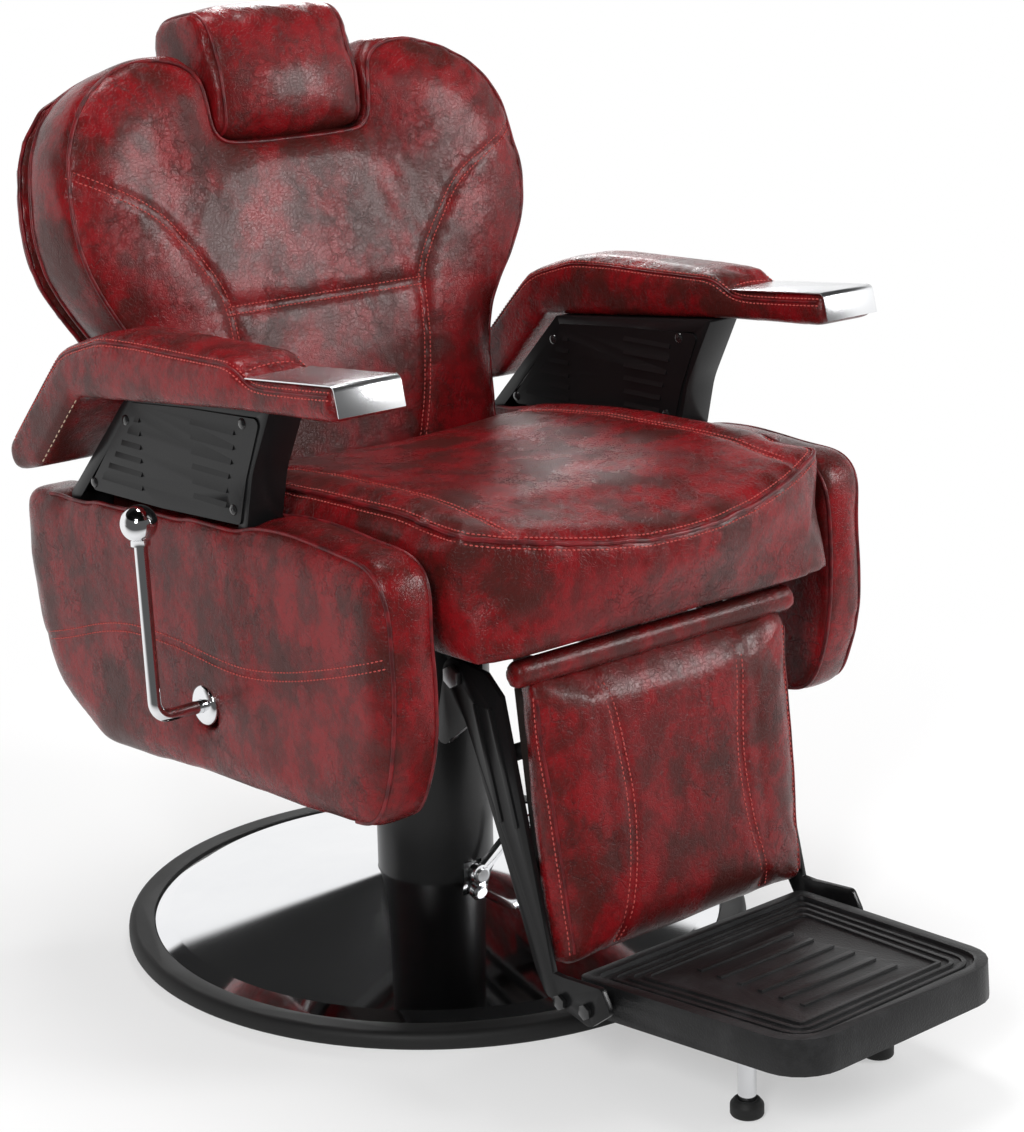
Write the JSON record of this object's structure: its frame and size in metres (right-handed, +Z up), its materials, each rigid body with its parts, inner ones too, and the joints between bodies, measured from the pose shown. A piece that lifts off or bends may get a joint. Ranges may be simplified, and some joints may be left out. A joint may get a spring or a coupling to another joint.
{
  "type": "barber chair",
  "caption": "Hydraulic barber chair with a foot pump, a turning seat, a reclining back, a lifting headrest, louvred arm pillars and a linked legrest with a footrest.",
  "frame": {"origin": "on the floor, on the axis of the pump", "axes": "+Z up, the sitter faces -Y, +X is the sitter's left"},
  "size_m": [0.737, 0.9864, 0.9589],
  "materials": {
    "steel_black": "satin black powder coat",
    "chrome": "polished chrome",
    "steel_bright": "zinc-plated or ground steel",
    "brass": "turned",
    "rubber": "matt black",
    "collar_black": "gloss black",
    "column_black": "satin black",
    "pressed_black": "satin black on pressed sheet",
    "plywood": "plain plywood",
    "leatherette": "glossy mottled burgundy leatherette",
    "tray_plastic": "fine textured black"
  },
  "bodies": {
    "base": {"base_plate": "steel_black", "base_disc": "chrome", "rubber_ring": "rubber", "base_collar": "collar_black", "column_cover": "column_black", "pump_cylinder": "steel_bright", "pump_gland": "brass", "pump_bolts": "steel_bright", "pedal_bracket": "steel_bright"},
    "pedal": {"pump_pedal": "chrome", "pedal_pad": "rubber"},
    "ram": {"pump_ram": "steel_bright"},
    "seat": {"seat_mount": "steel_black", "mount_bolts": "steel_bright", "seat_frame": "steel_black", "seat_board": "plywood", "seat_cushion": "leatherette", "side_panel_left": "leatherette", "side_panel_right": "leatherette", "pillar_left": "pressed_black", "pillar_right": "pressed_black", "pillar_plates_left": "pressed_black", "pillar_plates_right": "pressed_black", "pillar_screws": "steel_bright", "arm_pad_left": "leatherette", "arm_pad_right": "leatherette", "arm_cap_left": "chrome", "arm_cap_right": "chrome", "lever_rosette": "chrome", "lever_bush": "steel_bright", "hinge_pins": "steel_bright", "recline_cylinder": "steel_black"},
    "lever": {"recline_lever": "chrome", "lever_ball": "chrome"},
    "rod": {"recline_rod": "steel_bright"},
    "back": {"back_frame": "steel_black", "back_board": "plywood", "backrest_cushion": "leatherette", "back_cover": "leatherette", "headrest_socket": "steel_black"},
    "headrest": {"headrest_bar": "chrome", "headrest_cushion": "leatherette"},
    "links": {"link_left": "steel_black", "link_right": "steel_black"},
    "legrest": {"leg_arm_left": "pressed_black", "leg_arm_right": "pressed_black", "leg_cross_tubes": "steel_black", "legrest_board": "plywood", "legrest_cushion": "leatherette", "legrest_roll": "leatherette", "roll_brackets": "steel_bright", "leg_bolts": "steel_bright", "footrest_frame": "steel_black", "footrest_tray": "tray_plastic", "footrest_bolts": "steel_bright", "footrest_legs": "chrome", "footrest_feet": "rubber"}
  },
  "joints": [
    {"name": "lift", "type": "slide", "parent": "base", "child": "ram", "axis": [0, 0, 1], "range_m": [0, 0.15]},
    {"name": "swivel", "type": "hinge", "parent": "ram", "child": "seat", "pos_m": [0, 0, 0.37], "axis": [0, 0, 1], "continuous": true},
    {"name": "recline", "type": "hinge", "parent": "seat", "child": "back", "pos_m": [0, 0.16, 0.386], "axis": [-1, 0, 0], "range_deg": [0, 40]},
    {"name": "legrest_swing", "type": "hinge", "parent": "seat", "child": "legrest", "pos_m": [0, -0.246, 0.364], "axis": [-1, 0, 0], "range_deg": [0, 20]},
    {"name": "link_turn", "type": "hinge", "parent": "back", "child": "links", "pos_m": [0, 0.17483, 0.35765], "axis": [-1, 0, 0], "range_deg": [-40, 0]},
    {"name": "rod_slide", "type": "slide", "parent": "seat", "child": "rod", "axis": [0, -1, 0], "range_m": [0, 0.0342]},
    {"name": "lever_pull", "type": "hinge", "parent": "seat", "child": "lever", "pos_m": [-0.313, -0.04, 0.319], "axis": [1, 0, 0], "range_deg": [0, 18], "stiffness_Nm_per_rad": 2, "springref_deg": -14.32},
    {"name": "headrest_slide", "type": "slide", "parent": "back", "child": "headrest", "axis": [0, 0.2284, 0.9736], "range_m": [0, 0.07]},
    {"name": "pedal_press", "type": "hinge", "parent": "base", "child": "pedal", "pos_m": [0, -0.07, 0.066], "axis": [0, 1, 0], "range_deg": [0, 14], "stiffness_Nm_per_rad": 4, "springref_deg": -34.38}
  ],
  "couplings": [
    {"joint": "legrest_swing", "follows": "recline", "ratio": 0.5},
    {"joint": "link_turn", "follows": "recline", "ratio": -1},
    {"joint": "rod_slide", "follows": "recline", "m_per_rad": 0.04899}
  ]
}
